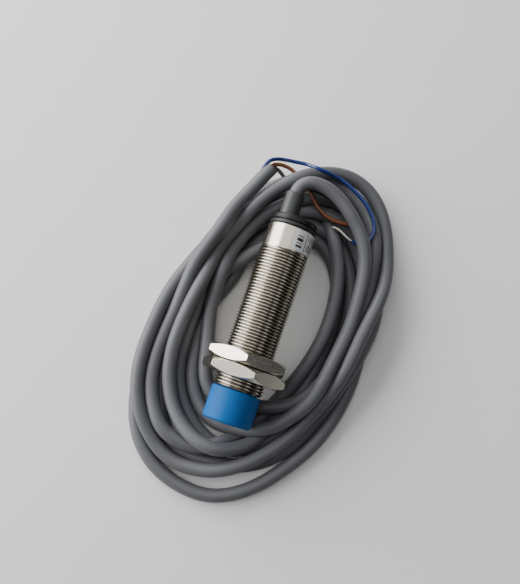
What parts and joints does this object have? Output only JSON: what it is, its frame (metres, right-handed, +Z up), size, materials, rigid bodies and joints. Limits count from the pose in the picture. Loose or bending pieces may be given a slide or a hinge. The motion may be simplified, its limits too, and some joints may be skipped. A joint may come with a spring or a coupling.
{
  "type": "inductive proximity sensor",
  "caption": "Threaded-barrel inductive proximity sensor with a blue sensing cap, two thin hex nuts and its lead wound in a loose coil under it.",
  "frame": {"origin": "centre of the sensing face, on the barrel's axis", "axes": "+Y runs along the barrel from the sensing face to the cable end, +Z is up from the surface the coil lies on, the sensing face looks along -Y"},
  "size_m": [0.0692, 0.12, 0.0281],
  "materials": {
    "nickel": "nickel-plated brass, satin",
    "nut_nickel": "nickel-plated brass, fine turned",
    "blue_cap": "matte moulded",
    "black_plastic": "semi-gloss moulded",
    "ring_grey": "smoky translucent plastic",
    "cable_grey": "matte PVC jacket",
    "sleeve_grey": "satin PVC sleeve",
    "label": "satin polyester label",
    "ferrite": "sintered ferrite",
    "bobbin": "natural nylon",
    "copper": "enamelled copper wire",
    "board": "green solder mask",
    "chip_black": "moulded epoxy",
    "tantalum": "moulded epoxy",
    "ceramic": "ceramic chip",
    "led": "clear epoxy over a yellow lamp",
    "wire_blue": "PVC insulation",
    "wire_brown": "PVC insulation",
    "wire_black": "PVC insulation",
    "tinned": "tinned copper strands"
  },
  "bodies": {
    "sensor": {"sensing_cap": "blue_cap", "ferrite_core": "ferrite", "coil_bobbin": "bobbin", "sensing_coil": "copper", "core_spacer": "bobbin", "coil_lead_1": "copper", "coil_lead_2": "copper", "circuit_board": "board", "oscillator_chip": "chip_black", "filter_capacitor": "tantalum", "resistor_1": "ceramic", "resistor_2": "ceramic", "resistor_3": "ceramic", "output_transistor": "chip_black", "protection_diode": "chip_black", "indicator_led": "led", "threaded_barrel": "nickel", "light_ring": "ring_grey", "end_cap": "black_plastic", "cable_sleeve": "sleeve_grey", "inner_cable": "cable_grey", "inner_wire_brown": "wire_brown", "inner_wire_blue": "wire_blue", "inner_wire_black": "wire_black", "label": "label", "cable_coil": "cable_grey", "cable_lead": "cable_grey", "cable_tail": "cable_grey", "blue_wire": "wire_blue", "blue_wire_tip": "tinned", "brown_wire": "wire_brown", "black_wire": "wire_black"},
    "front_nut": {"front_nut": "nut_nickel"},
    "rear_nut": {"rear_nut": "nut_nickel"}
  },
  "joints": [
    {"name": "front_nut_travel", "type": "slide", "parent": "sensor", "child": "front_nut", "axis": [0, 1, 0], "range_m": [-0.003, 0]},
    {"name": "rear_nut_travel", "type": "slide", "parent": "sensor", "child": "rear_nut", "axis": [0, 1, 0], "range_m": [0, 0.022]}
  ]
}
